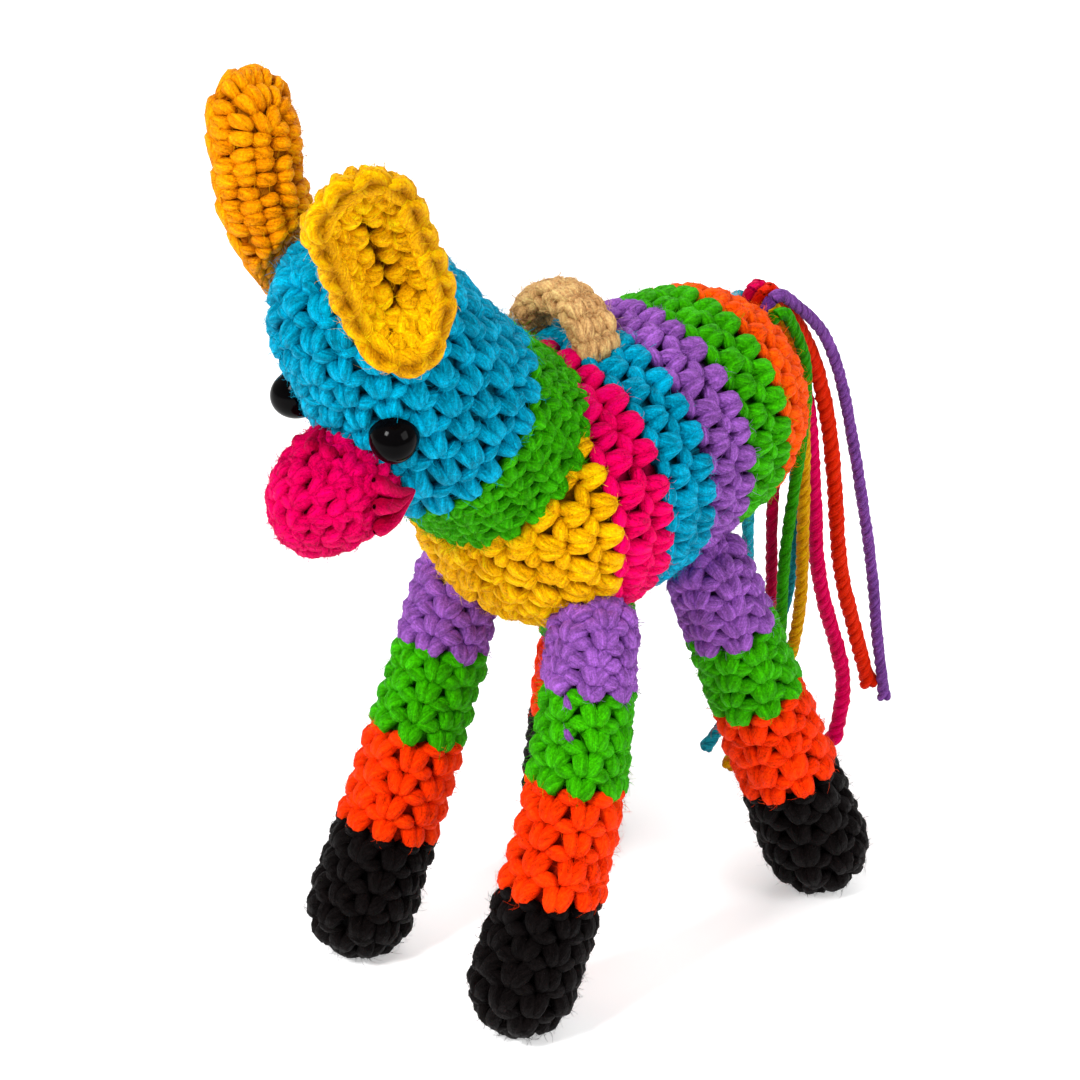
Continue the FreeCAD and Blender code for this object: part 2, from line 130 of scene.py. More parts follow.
def make_camera():
    sin_a, cos_a = math.sin(VIEW_TURN), math.cos(VIEW_TURN)
    sin_e, cos_e = math.sin(VIEW_RISE), math.cos(VIEW_RISE)
    back = np.array((sin_a * cos_e, -cos_a * cos_e, sin_e))
    right = np.array((cos_a, sin_a, 0.0))
    above = np.cross(back, right)
    place = TOY_MIDDLE + back * VIEW_DISTANCE
    aim = TOY_MIDDLE + right * VIEW_AIM[0] + above * VIEW_AIM[1]
    camera = put_in_scene("camera", bpy.data.cameras.new("camera"))
    camera.location = place
    camera.rotation_euler = Vector(aim - place).to_track_quat("-Z", "Y").to_euler()
    camera.data.lens = VIEW_LENS
    camera.data.sensor_width = VIEW_SENSOR
    camera.data.clip_start, camera.data.clip_end = 0.05, 20.0
    bpy.context.scene.camera = camera


make_camera()


# ---- materials
YARN_COLOURS = {
    "turquoise": (0.000, 0.270, 0.430), "green": (0.030, 0.305, 0.001),
    "pink": (0.860, 0.000, 0.100), "rose": (0.700, 0.000, 0.084),
    "yellow": (0.860, 0.390, 0.001), "ochre": (0.840, 0.260, 0.001),
    "purple": (0.235, 0.076, 0.355), "orange": (0.980, 0.075, 0.001),
    "flame": (0.950, 0.034, 0.001), "red": (0.940, 0.022, 0.001),
    "crimson": (0.560, 0.000, 0.060), "teal": (0.020, 0.420, 0.560),
    "tan": (0.700, 0.385, 0.155), "black": (0.004, 0.003, 0.003),
}


class Nodes:
    """Short way to write a material's nodes."""

    def __init__(self, name):
        self.material = bpy.data.materials.new(name)
        self.material.use_nodes = True
        self.tree = self.material.node_tree
        self.shader = self.tree.nodes["Principled BSDF"]

    def feed(self, socket, value):
        """Link the socket to a node's output, or give it a value of its own."""
        if isinstance(value, bpy.types.NodeSocket):
            self.tree.links.new(value, socket)
        else:
            socket.default_value = value

    def set(self, **inputs):
        for name, value in inputs.items():
            self.feed(self.shader.inputs[name.replace("_", " ")], value)

    def node(self, kind, **inputs):
        made = self.tree.nodes.new(kind)
        for name, value in inputs.items():
            self.feed(made.inputs[name], value)
        return made

    def math(self, operation, first, second=0.0):
        made = self.tree.nodes.new("ShaderNodeMath")
        made.operation = operation
        self.feed(made.inputs[0], first)
        self.feed(made.inputs[1], second)
        return made.outputs[0]

    def place(self):
        """The point in the object's own frame."""
        return self.node("ShaderNodeTexCoord").outputs["Object"]

    def attribute(self, name):
        made = self.tree.nodes.new("ShaderNodeAttribute")
        made.attribute_name = name
        return made.outputs["Fac"]

    def noise(self, vector, scale, detail=2.0, roughness=0.5):
        made = self.node("ShaderNodeTexNoise", Vector=vector, Scale=scale, Detail=detail,
                         Roughness=roughness)
        return made.outputs["Fac"]

    def ramp(self, factor, stops):
        made = self.tree.nodes.new("ShaderNodeValToRGB")
        elements = made.color_ramp.elements
        while len(elements) < len(stops):
            elements.new(0.5)
        for element, (place, colour) in zip(elements, stops):
            element.position = place
            element.color = (*colour, 1.0)
        self.feed(made.inputs[0], factor)
        return made.outputs[0]

    def mix(self, factor, first, second, blend="MIX"):
        """Mix two colours; the Mix node's colour sockets are numbers 6, 7 and output 2."""
        made = self.tree.nodes.new("ShaderNodeMix")
        made.data_type = "RGBA"
        made.blend_type = blend
        self.feed(made.inputs[0], factor)
        self.feed(made.inputs[6], first)
        self.feed(made.inputs[7], second)
        return made.outputs[2]

    def bump(self, height, distance, strength=1.0, normal=None):
        made = self.node("ShaderNodeBump", Height=height, Distance=distance, Strength=strength)
        if normal is not None:
            self.feed(made.inputs["Normal"], normal)
        return made.outputs[0]


def scaled(colour, factor):
    return tuple(min(1.0, channel * factor) for channel in colour)


# fibres across a ply and along a metre of yarn, and the scales of the lint and of uneven dye
FIBRES_ACROSS, FIBRES_ALONG = 5.5, 400.0
LINT_SCALE, DYE_SCALE = 2600.0, 170.0
SHADE_STOPS = ((0.06, 0.50), (0.50, 1.08), (0.94, 1.95))     # shade, and times the colour: the low stops are painted shade and the high ones painted highlight, over random tone
PAINTED_SHADE_GREY, PAINTED_SHADE_COLOUR = 0.20, 0.22     # painted shade: what is left of the colour down between the stitches
GROOVE_BUMP, FIBRE_BUMP, LINT_BUMP = 0.08 * MM, 0.40 * MM, 0.20 * MM


def make_yarn(name, colour):
    """Twisted yarn: plies and fibres follow each strand through its UV map."""
    n = Nodes("yarn_" + name)
    uv = n.node("ShaderNodeUVMap")
    uv.uv_map = "strand"
    parts = n.node("ShaderNodeSeparateXYZ", Vector=uv.outputs[0])
    along, around = parts.outputs[0], parts.outputs[1]
    twist = n.math("ADD", n.math("MULTIPLY", around, PLIES), n.math("DIVIDE", along, PLY_PITCH))
    ply = n.math("ABSOLUTE", n.math("SINE", n.math("MULTIPLY", twist, math.pi)))
    groove = n.math("SUBTRACT", 1.0, n.math("POWER", n.math("SUBTRACT", 1.0, ply), 3.0))
    fibre_place = n.node("ShaderNodeCombineXYZ", X=n.math("MULTIPLY", twist, FIBRES_ACROSS),
                         Y=n.math("MULTIPLY", along, FIBRES_ALONG))
    fibre = n.noise(fibre_place.outputs[0], 1.0, 4.0, 0.62)
    place = n.place()
    lint = n.noise(place, LINT_SCALE, 3.0, 0.7)
    dye = n.noise(place, DYE_SCALE, 2.0)
    # the shade is partly painted light and partly the yarn's own tone: the fibre streaks are random
    # fibre tone with painted highlight and painted shade, the ply grooves are painted shade, and
    # lint, dye and the tone attribute are random tone
    shade = 0.5
    for part, middle, share in ((fibre, 0.5, 1.75), (groove, 0.75, 0.12), (lint, 0.5, 1.3),
                                (dye, 0.5, 0.5), (n.attribute("tone"), 0.5, 0.14)):
        shade = n.math("ADD", n.math("MULTIPLY", n.math("SUBTRACT", part, middle), share), shade)
    base = n.ramp(shade, [(stop, scaled(colour, factor)) for stop, factor in SHADE_STOPS])
    # painted shade: where the attribute deep is low, down between the stitches and on the
    # undersides of the yarn, the colour is darkened towards a deeper tint of itself
    painted_shade_tint = [PAINTED_SHADE_GREY + PAINTED_SHADE_COLOUR * channel for channel in scaled(colour, 1.0 / max(colour))]
    shaded = n.mix(1.0, base, (*painted_shade_tint, 1.0), "MULTIPLY")
    bumps = n.bump(fibre, FIBRE_BUMP, 1.0, n.bump(groove, GROOVE_BUMP, 0.5))
    n.set(Base_Color=n.mix(n.attribute("deep"), shaded, base), Roughness=0.68,
          Normal=n.bump(lint, LINT_BUMP, 1.0, bumps),
          Specular_IOR_Level=0.28, Specular_Tint=(*colour, 1.0),
          Sheen_Weight=0.2, Sheen_Roughness=0.4, Sheen_Tint=(*scaled(colour, 1.3), 1.0),
          Subsurface_Weight=0.12, Subsurface_Radius=(1.0, 0.6, 0.5), Subsurface_Scale=0.4 * MM)
    return n.material


def make_lining(name, colour):
    """The inside of the stitches, seen only through the holes between them, darkened as painted
    shade.
    """
    n = Nodes("lining_" + name)
    tangle = n.noise(n.place(), 900.0, 4.0, 0.7)
    # painted shade: the lining is the yarn's colour at 0.18 to 0.55 of its strength
    base = n.ramp(tangle, ((0.3, scaled(colour, 0.18)), (0.7, scaled(colour, 0.55))))
    n.set(Base_Color=base, Roughness=0.95, Specular_IOR_Level=0.1,
          Normal=n.bump(tangle, 0.5 * MM))
    return n.material


def make_fibrefill():
    """The white polyester stuffing."""
    n = Nodes("fibrefill")
    wisps = n.noise(n.place(), 700.0, 5.0, 0.7)
    n.set(Base_Color=n.ramp(wisps, ((0.3, (0.55, 0.55, 0.54)), (0.7, (0.88, 0.88, 0.87)))),
          Roughness=0.95, Sheen_Weight=0.4, Normal=n.bump(wisps, 0.6 * MM))
    return n.material


YARN = {name: make_yarn(name, colour) for name, colour in YARN_COLOURS.items()}
LINING = {name: make_lining(name, colour) for name, colour in YARN_COLOURS.items()}
FIBREFILL = make_fibrefill()


# ---- surfaces to crochet on
LEAST_RADIUS = 1e-6           # stands in for a radius of nothing at a pole


class Skin:
    """A surface round an axis that may bend.

    centres, axes and radii give its outline; s is the length along that outline, and w the
    length round the row at a given s.  The rows are round, or with half > 0 they are long
    ovals: two straight sides of 2 * half along the zero direction, joined by half circles.
    """

    def __init__(self, centres, axes, radii, zero, half=0.0):
        self.centres = np.asarray(centres, float)
        self.axes = unit(axes)
        self.radii = np.asarray(radii, float)
        self.half = half
        steps = np.diff(self.centres, axis=0)
        forward = np.einsum("ij,ij->i", steps, unit(self.axes[1:] + self.axes[:-1]))
        outward = np.diff(self.radii)
        lengths = np.hypot(forward, outward)
        self.s = np.concatenate(([0.0], np.cumsum(lengths)))
        self.length = self.s[-1]
        middle = (self.s[1:] + self.s[:-1]) / 2
        self.rise = np.interp(self.s, middle, forward / lengths)
        self.grow = np.interp(self.s, middle, outward / lengths)
        self.side = unit(np.cross(self.axes, zero))
        self.zero = np.cross(self.side, self.axes)

    def pick(self, table, s):
        if table.ndim == 1:
            return np.interp(s, self.s, table)
        return np.stack([np.interp(s, self.s, table[:, k]) for k in range(3)], axis=-1)

    def row_length(self, row):
        return 2 * math.pi * float(np.interp(row, self.s, self.radii)) + 4 * self.half

    def at(self, s, w, row, lift):
        """Points and outward normals; row is the s at which w is measured."""
        s = np.clip(s, 0.0, self.length)
        reach = np.maximum(self.pick(self.radii, row), LEAST_RADIUS)
        w = np.mod(w, 2 * math.pi * reach + 4 * self.half)
        bend = math.pi * reach
        run = 2 * self.half
        first = np.clip(w, 0.0, run)
        turn = np.clip(w - run, 0.0, bend)
        second = np.clip(w - run - bend, 0.0, run)
        turn = turn + np.clip(w - 2 * run - bend, 0.0, bend)
        angle = (turn / reach)[..., None]
        slide = (first - second - self.half)[..., None]
        side, zero, axis = self.pick(self.side, s), self.pick(self.zero, s), self.pick(self.axes, s)
        away = side * np.cos(angle) + zero * np.sin(angle)
        normal = unit(away * self.pick(self.rise, s)[..., None]
                      - axis * self.pick(self.grow, s)[..., None])
        point = (self.pick(self.centres, s) + zero * slide
                 + away * self.pick(self.radii, s)[..., None])
        return point + normal * np.asarray(lift)[..., None], normal


def eased(table, reach):
    """The table with its corners rounded over a few neighbours."""
    made = np.array(table, float)
    for _ in range(reach):
        made[1:-1] = (made[:-2] + 2 * made[1:-1] + made[2:]) / 4
    return made


# ---- yarn meshes
SIDES, LOOP_SIDES = 9, 10     # of a tube of yarn
CAP_STEPS = ((0.55, 0.84), (0.95, 0.30))     # rounded ends: reach, width, times the radius
PLY_BULGE = 0.035             # how far the plies stand out, as a share of the radius
# uneven yarn: share of the radius, lobes round it, and turns in radians along a metre
LUMPS = ((0.05, 2, 900.0), (0.035, 3, -1700.0))
DEEP, PROUD = -0.4 * MM, 1.7 * MM      # lifts between which the yarn comes out of the shade
HAIR_LENGTH = (0.7 * MM, 2.1 * MM)
HAIR_RADIUS = 0.05 * MM
HAIR_TONES = (-1.6, 3.8)      # darker and lighter than the yarn they come from
HAIR_RINGS, HAIR_SIDES = 4, 3
HAIR_SPREAD, HAIR_TURN, HAIR_BEND = 0.60, 0.5, 0.6     # random share of each direction
HAIR_LEAST_STAND, HAIR_STAND = 0.05, 0.70     # how steeply a hair leaves the yarn
HAIR_CURL = 2.4               # radians of a sine that brings its end back down
HAIRS_PER_STRAND = 15
YARN_FACES, LINING_FACES = 0, 1     # material indices
LINING_STEP = 1.2 * MM


class Knit:
    """Collects yarn tubes and linings of one colour into one mesh."""

    def __init__(self, name, colour, seed):
        self.name = name
        self.colour = colour
        self.random = np.random.default_rng(seed)
        self.points, self.faces, self.uvs, self.kinds = [], [], [], []
        self.tones, self.out_of_painted_shade = [], []
        self.count = 0

    def add(self, points, faces, uvs, tones, out_of_painted_shade, kind):
        points = points.reshape(-1, 3)
        self.points.append(points)
        self.faces.append(faces + self.count)
        self.uvs.append(uvs)
        self.tones.append(np.broadcast_to(tones, (len(points),)))
        self.out_of_painted_shade.append(np.broadcast_to(out_of_painted_shade, (len(points),)))
        self.kinds.append(np.full(len(faces), kind))
        self.count += len(points)

    def tubes(self, spines, normals, radii, tones, sides=SIDES, lifts=0.0):
        """Closed tubes along spines (k, p, 3) with outward normals, radii and lifts (k, p)."""
        lifts = np.broadcast_to(lifts, radii.shape)
        first = unit(spines[:, :1] - spines[:, 1:2]) * radii[:, :1, None]
        last = unit(spines[:, -1:] - spines[:, -2:-1]) * radii[:, -1:, None]
        first_radius, last_radius = radii[:, :1], radii[:, -1:]
        first_point, last_point = spines[:, :1], spines[:, -1:]
        for reach, width in CAP_STEPS:
            spines = np.concatenate([first_point + first * reach, spines,
                                     last_point + last * reach], axis=1)
            radii = np.concatenate([first_radius * width, radii, last_radius * width], axis=1)
            lifts, normals = (np.concatenate([table[:, :1], table, table[:, -1:]], axis=1)
                              for table in (lifts, normals))
        tangents = unit(np.gradient(spines, axis=1))
        across = unit(np.cross(tangents, normals))
        outward = np.cross(across, tangents)
        turns = np.arange(sides) / sides * 2 * math.pi
        count, rings = spines.shape[:2]
        along = np.concatenate([np.zeros((count, 1)), np.cumsum(
            np.linalg.norm(np.diff(spines, axis=1), axis=2), axis=1)], axis=1)
        offset = self.random.uniform(0, 1, (count, 1)) * PLY_PITCH
        wave = np.cos(PLIES * turns + 2 * math.pi * ((along + offset) / PLY_PITCH)[..., None])
        lumps = sum(
            size * np.sin(lobes * turns + self.random.uniform(0, 6.3, (count, 1, 1))
                          + (along * pace)[..., None])
            for size, lobes, pace in LUMPS)
        reach = radii[..., None] * (1.0 + PLY_BULGE * wave + lumps)
        # the seam of the UV map lies on the inner side of the tube
        ring = (outward[:, :, None] * -np.cos(turns)[:, None] + across[:, :, None]
                * np.sin(turns)[:, None])
        points = spines[:, :, None] + ring * reach[..., None]
        faces = ring_faces(np.arange(count * rings * sides).reshape(count, rings, sides))
        v = np.arange(sides + 1) / sides
        lengths = (along + offset)[..., None]
        u0, u1 = lengths[:, :-1], lengths[:, 1:]
        corners = ((u0, v[:-1]), (u0, v[1:]), (u1, v[1:]), (u1, v[:-1]))
        uvs = np.stack([np.stack(np.broadcast_arrays(*c), axis=-1) for c in corners],
                       axis=-2).reshape(-1, 4, 2)
        tones = np.repeat(np.asarray(tones, float), rings * sides)
        # painted shade: a point's height over the fabric, between DEEP and PROUD, sets how far it
        # comes out of the painted shade between stitches
        heights = lifts[..., None] - radii[..., None] * np.cos(turns)
        out_of_painted_shade = np.clip((heights - DEEP) / (PROUD - DEEP), 0, 1).ravel()
        self.add(points, faces, uvs, tones, out_of_painted_shade, YARN_FACES)

    def fuzz(self, spines, normals, radii, per_tube):
        """Loose fibres on the tubes: thin three-sided hairs, most of them curled down."""
        rng = self.random
        tube = rng.integers(0, len(spines), int(len(spines) * per_tube))
        ring = rng.integers(1, spines.shape[1] - 1, len(tube))
        count = len(tube)
        if count == 0:
            return
        tangent = unit(spines[tube, ring + 1] - spines[tube, ring - 1])
        out = unit(normals[tube, ring] + rng.normal(0, HAIR_SPREAD, (count, 3)))
        ahead = tangent * rng.choice((-1.0, 1.0), (count, 1))
        along = unit(ahead + rng.normal(0, HAIR_TURN, (count, 3)))
        side = unit(np.cross(out, along))
        length = rng.uniform(*HAIR_LENGTH, (count, 1))
        stand = HAIR_LEAST_STAND + HAIR_STAND * rng.uniform(0, 1, (count, 1)) ** 3
        root = spines[tube, ring] + out * (radii[tube, ring][:, None] * 0.97)
        bend = rng.normal(0, HAIR_BEND, (count, 1))
        rings = []
        for share in np.linspace(0, 1, HAIR_RINGS):
            rise = out * stand * math.sin(HAIR_CURL * share) * 0.5
            middle = root + length * (along * share + rise + side * bend * share ** 2)
            thick = HAIR_RADIUS * (1.0 - 0.5 * share)
            rings.append(np.stack([middle + side * thick, middle + out * thick,
                                   middle - side * thick], axis=1))
        points = np.stack(rings, axis=1)
        walls = ring_faces(np.arange(count * HAIR_RINGS * HAIR_SIDES)
                           .reshape(count, HAIR_RINGS, HAIR_SIDES))
        shades = np.repeat(rng.uniform(*HAIR_TONES, count), HAIR_RINGS * HAIR_SIDES)
        self.add(points, walls, np.zeros((len(walls), 4, 2)), shades, 1.0, YARN_FACES)

    def strand(self, spine, normals, radii, tone, sides=SIDES, lifts=0.0, hairs=0):
        """One tube along a spine (p, 3), with its own hairs."""
        self.tubes(spine[None], normals[None], radii[None], np.array([tone]), sides, lifts)
        if hairs:
            self.fuzz(spine[None], normals[None], radii[None], hairs)

    def lining(self, skin, start, end, outer=-0.9 * MM, inner=-1.4 * MM):
        """A closed layer of the skin between two rows, from its outer to its inner lift."""
        rows = max(3, int((end - start) / LINING_STEP))
        s = np.linspace(start, end, rows + 1)
        steps = max(16, int(skin.row_length((start + end) / 2) / LINING_STEP))
        share = np.arange(steps) / steps
        rings = []
        for s_list, lift in ((s, outer), (s[::-1], inner)):
            for value in s_list:
                row = np.full(steps, value)
                points, _ = skin.at(row, share * skin.row_length(value), row,
                                    np.full(steps, lift))
                rings.append(points)
        points = np.stack(rings)
        faces = ring_faces(np.arange(len(rings) * steps).reshape(-1, steps), closed=True)
        self.add(points, faces, np.zeros((len(faces), 4, 2)), 0.0, 0.0, LINING_FACES)

    def build(self, body, node, floor=None, bend=None):
        """Make the mesh; bend holds the joint's other body, and where it starts and ends, but only
        whether it is given is read: a piece with a bend is not attached to a body and is not bent.
        """
        points = np.concatenate(self.points)
        if floor is not None:
            points[:, 2] = np.maximum(points[:, 2], floor)
        faces = np.concatenate(self.faces)
        mesh = bpy.data.meshes.new(self.name)
        mesh.vertices.add(len(points))
        mesh.vertices.foreach_set("co", points.ravel())
        mesh.loops.add(faces.size)
        mesh.loops.foreach_set("vertex_index", faces.ravel())
        mesh.polygons.add(len(faces))
        mesh.polygons.foreach_set("loop_start", np.arange(0, faces.size, 4))
        mesh.polygons.foreach_set("material_index", np.concatenate(self.kinds))
        mesh.polygons.foreach_set("use_smooth", np.ones(len(faces), bool))
        mesh.update(calc_edges=True)
        layer = mesh.uv_layers.new(name="strand")
        layer.data.foreach_set("uv", np.concatenate(self.uvs).ravel())
        # the attribute deep carries how far each point is out of the painted shade between stitches
        for name, values in (("tone", self.tones), ("deep", self.out_of_painted_shade)):
            layer = mesh.attributes.new(name, "FLOAT", "POINT")
            layer.data.foreach_set("value", np.concatenate(values))
        mesh.validate()
        mesh.materials.append(YARN[self.colour])
        mesh.materials.append(LINING[self.colour])
        piece = put_in_scene(self.name, mesh)
        if bend is None:
            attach(piece, body)
        else:
            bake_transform(piece)
        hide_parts(node)
        return piece


def spline(controls, steps):
    """Points of a Catmull-Rom curve through the controls (n, d)."""
    controls = np.asarray(controls, float)
    ends = np.concatenate([2 * controls[:1] - controls[1:2], controls,
                           2 * controls[-1:] - controls[-2:-1]])
    place = np.linspace(0, len(controls) - 1, steps)
    index = np.minimum(place.astype(int), len(controls) - 2)
    f = (place - index)[:, None]
    p0, p1, p2, p3 = (ends[index + k] for k in range(4))
    return 0.5 * (2 * p1 + (p2 - p0) * f + (2 * p0 - 5 * p1 + 4 * p2 - p3) * f ** 2
                  + (3 * p1 - p0 - 3 * p2 + p3) * f ** 3)


# One single crochet, as controls of (across, up, lift, radius).  Across is a share of the
# stitch's width and up of the round's height; lift and radius are in millimetres.
LEG = ((0.05, -0.54, -1.20, 0.85), (0.075, -0.47, 0.10, 1.08), (0.12, -0.27, 0.90, 1.36),
       (0.18, -0.02, 0.62, 1.40), (0.26, 0.20, -0.10, 1.28), (0.32, 0.42, -1.20, 1.05))
LOOP = ((0.14, 0.34, -1.10, 0.95), (0.30, 0.44, 0.20, 1.18), (0.50, 0.48, 0.72, 1.38),
        (0.70, 0.44, 0.20, 1.18), (0.86, 0.34, -1.10, 0.95))
FELTED_LEG = ((0.08, -0.52, -1.00, 1.10), (0.12, -0.38, 0.15, 1.40), (0.17, -0.10, 0.35, 1.55),
              (0.24, 0.22, 0.10, 1.45), (0.30, 0.50, -0.90, 1.15))
FELTED_LOOP = ((0.20, 0.36, -0.90, 1.00), (0.35, 0.46, 0.10, 1.30), (0.50, 0.50, 0.25, 1.40),
               (0.65, 0.46, 0.10, 1.30), (0.80, 0.36, -0.90, 1.00))
RIB = ((0.23, -0.50, -1.00, 0.90), (0.26, -0.30, 0.15, 1.15), (0.25, 0.00, 0.60, 1.30),
       (0.24, 0.30, 0.10, 1.20), (0.27, 0.50, -1.00, 0.95))
LINK = ((-0.20, 0.04, -0.80, 1.00), (0.06, 0.14, 0.45, 1.25), (0.42, 0.27, 0.65, 1.48),
        (0.82, 0.24, 0.10, 1.36), (1.08, 0.09, -0.80, 1.10))
MIRRORED = np.array((-1.0, 1.0, 1.0, 1.0))
UPSIDE_DOWN = np.array((1.0, -1.0, 1.0, 1.0))


def twice(controls, steps, other_way):
    """A strand and the same strand the other way, each as its points and sides."""
    return tuple((spline(np.array(controls) * way, steps), SIDES) for way in (1.0, other_way))


STITCH = (*twice(LEG, 9, MIRRORED), (spline(LOOP, 8), LOOP_SIDES))
FELTED_STITCH = (*twice(FELTED_LEG, 8, MIRRORED), (spline(FELTED_LOOP, 7), LOOP_SIDES))
RIB_STITCH = twice(RIB, 8, MIRRORED)
CHAIN_STITCH = twice(LINK, 9, UPSIDE_DOWN)
# how unevenly stitches are worked: size, slant, place, height off the fabric, strand's place
UNEVEN_SIZE, UNEVEN_SLANT, UNEVEN_PLACE, UNEVEN_LIFT = 0.045, 0.05, 0.035, 0.10 * MM
UNEVEN_STRAND = 0.03


def stitch_row(knit, skin, row, height, places, width, work=1, plump=1.0, strands=STITCH,
               rough=1.0):
    """Lay single crochets at the given places along a row of the skin.

    work is +1 where the rounds were worked towards larger s, and -1 the other way.
    """
    places = np.asarray(places, float)
    count = len(places)
    if count == 0:
        return
    rng = knit.random
    size = 1.0 + rng.normal(0, UNEVEN_SIZE * rough, (count, 1))
    slant = rng.normal(0, UNEVEN_SLANT * rough, (count, 1))
    slip = rng.normal(0, UNEVEN_PLACE * rough, (count, 1)) * width
    lifts = rng.normal(0, UNEVEN_LIFT * rough, (count, 1))
    tones = rng.uniform(0.0, 1.0, count)
    for template, sides in strands:
        across, up, lift, radius = template.T
        wobble = rng.normal(0, UNEVEN_STRAND, (count, 1)) * width
        w = places[:, None] + slip + wobble + (across + slant * up) * width
        s = row + work * up * height * size
        high = lift * MM * plump + lifts
        points, normals = skin.at(s, w, np.full_like(s, row), high)
        radii = radius * MM * size * plump * np.ones((count, 1))
        knit.tubes(points, normals, radii, tones, sides, high)
        knit.fuzz(points, normals, radii, HAIRS_PER_STRAND)


# ---- body
BODY_AXIS = np.array((0.0, math.cos(BODY_PITCH), math.sin(BODY_PITCH)))
BODY_MIDDLE = JOINT["neck_nod"] - BODY_AXIS * CHEST_STATION
BODY_ROWS = 160
# colour, name and number of rounds of each stretch, from the chest to the rump
BODY_STRETCHES = (
    ("yellow", "chest_yellow", 6), ("pink", "band_pink", 2), ("turquoise", "band_turquoise", 2),
    ("purple", "band_purple", 2), ("green", "band_green", 2), ("orange", "rump_orange", 6),
)
ROUND_START, ROUND_DRIFT = 0.3, -0.10     # where a round starts against the last, in stitches
LEAST_STITCHES = 6            # in the smallest round, at a pole


def body_radius(station, inset):
    """Radius of the body at each station along its axis, less the inset."""
    chest, back, rump = (r - inset for r in (CHEST_RADIUS, BACK_RADIUS, RUMP_RADIUS))
    ahead = np.sqrt(np.maximum(chest ** 2 - (station - CHEST_STATION) ** 2, 0))
    arc = np.sqrt(back ** 2 - (station - CHEST_STATION) ** 2) - (BACK_RADIUS - CHEST_RADIUS)
    behind = np.sqrt(np.maximum(rump ** 2 - (station - RUMP_STATION) ** 2, 0))
    lean = (RUMP_STATION - CHEST_STATION) / (BACK_RADIUS - RUMP_RADIUS)
    change = RUMP_STATION + rump * lean
    return np.where(station < CHEST_STATION, ahead, np.where(station < change, arc, behind))


def body_skin():
    share = (1 - np.cos(np.linspace(0, math.pi, BODY_ROWS))) / 2
    first = CHEST_STATION - (CHEST_RADIUS - STITCH_DEPTH)
    last = RUMP_STATION + (RUMP_RADIUS - STITCH_DEPTH)
    station = first + (last - first) * share
    centres = BODY_MIDDLE + BODY_AXIS * station[:, None]
    radii = body_radius(station, STITCH_DEPTH)
    return Skin(centres, np.tile(BODY_AXIS, (BODY_ROWS, 1)), radii, UP), station


def crochet_body():
    skin, station = body_skin()
    edges = [BAND_START + BAND_WIDTH * k for k in range(len(BODY_STRETCHES) - 1)]
    bounds = [0.0, *np.interp(edges, station, skin.s), skin.length]
    phase, last = 0.0, 0
    for index, (colour, part, rounds) in enumerate(BODY_STRETCHES):
        start, end = bounds[index], bounds[index + 1]
        knit = Knit("crochet_" + part, colour, seed=index + 1)
        phase, last = crochet_rounds(knit, skin, start, end, rounds, phase, last, work=-1)
        knit.lining(skin, start + SLIVER, end - SLIVER)
        knit.build("torso", "body_" + part)
    stuff("body_stuffing", skin, "torso", seed=91)


# ---- head
FACE_AXIS = unit(JAW - CROWN)
NECK_AXIS = unit(JOINT["neck_nod"] - JAW)
SPACING = 0.5 * MM            # between the points of a bent outline
HEAD_FIBRE_SHORT = 6.5 * MM   # so that the fibre stays clear of the body as the head nods


def run_of(start, direction, length, first_radius, last_radius):
    """A straight stretch of an outline: its centres, axes and radii."""
    steps = np.linspace(0, length, max(2, int(length / SPACING)))
    centres = start + direction * steps[:, None]
    radii = first_radius + (last_radius - first_radius) * steps / length
    return centres, np.tile(direction, (len(steps), 1)), radii


def cap_of(centre, direction, radius, back=False):
    """Half a ball, from its pole to its widest row, or back from there to the far pole."""
    steps = max(8, int(radius * (math.pi / 2) / SPACING))
    angles = np.linspace(0.0, math.pi / 2, steps)
    along, radii = -radius * np.cos(angles), radius * np.sin(angles)
    if back:
        along, radii = -along[::-1], radii[::-1]
    centres = centre + direction * along[:, None]
    return centres, np.tile(direction, (steps, 1)), radii


def joined(*runs, zero, ease=0):
    """One skin from several runs, without the points that two runs share."""
    tables = [np.concatenate([table if k == 0 else table[1:] for k, table in enumerate(group)])
              for group in zip(*runs)]
    centres, axes, radii = (eased(table, ease) for table in tables)
    return Skin(centres, axes, radii, zero)


def s_near(skin, point):
    """The s of the row whose centre is nearest to a point on the axis."""
    return skin.s[np.argmin(np.linalg.norm(skin.centres - point, axis=1))]


def crochet_rounds(knit, skin, start, end, rounds, phase=0.0, last=None, keep=None,
                   wide=STITCH_WIDE, **look):
    """Fill the skin from start to end with whole rounds, leaving out what keep refuses.

    Where last, the stitches of the round before, is given, a new count starts a new phase.
    """
    height = (end - start) / rounds
    for k in range(rounds):
        row = start + height * (k + 0.5)
        around = skin.row_length(row)
        count = max(LEAST_STITCHES, round(around / wide))
        width = around / count
        if last is not None:
            phase, last = (phase if count == last else ROUND_START), count
        phase += ROUND_DRIFT
        places = (np.arange(count) + phase) * width
        if keep is not None:
            points, _ = skin.at(np.full(count, row), places, np.full(count, row),
                                np.zeros(count))
            places = places[keep(points)]
        stitch_row(knit, skin, row, height, places, width, **look)
    return phase, last


def head_skin():
    crown, jaw = CROWN_RADIUS - STITCH_DEPTH, JAW_RADIUS - STITCH_DEPTH
    return joined(
        cap_of(CROWN, FACE_AXIS, crown),
        run_of(CROWN, FACE_AXIS, np.linalg.norm(JAW - CROWN), crown, jaw),
        run_of(JAW, NECK_AXIS, NECK_END, jaw, jaw), zero=ACROSS, ease=30)


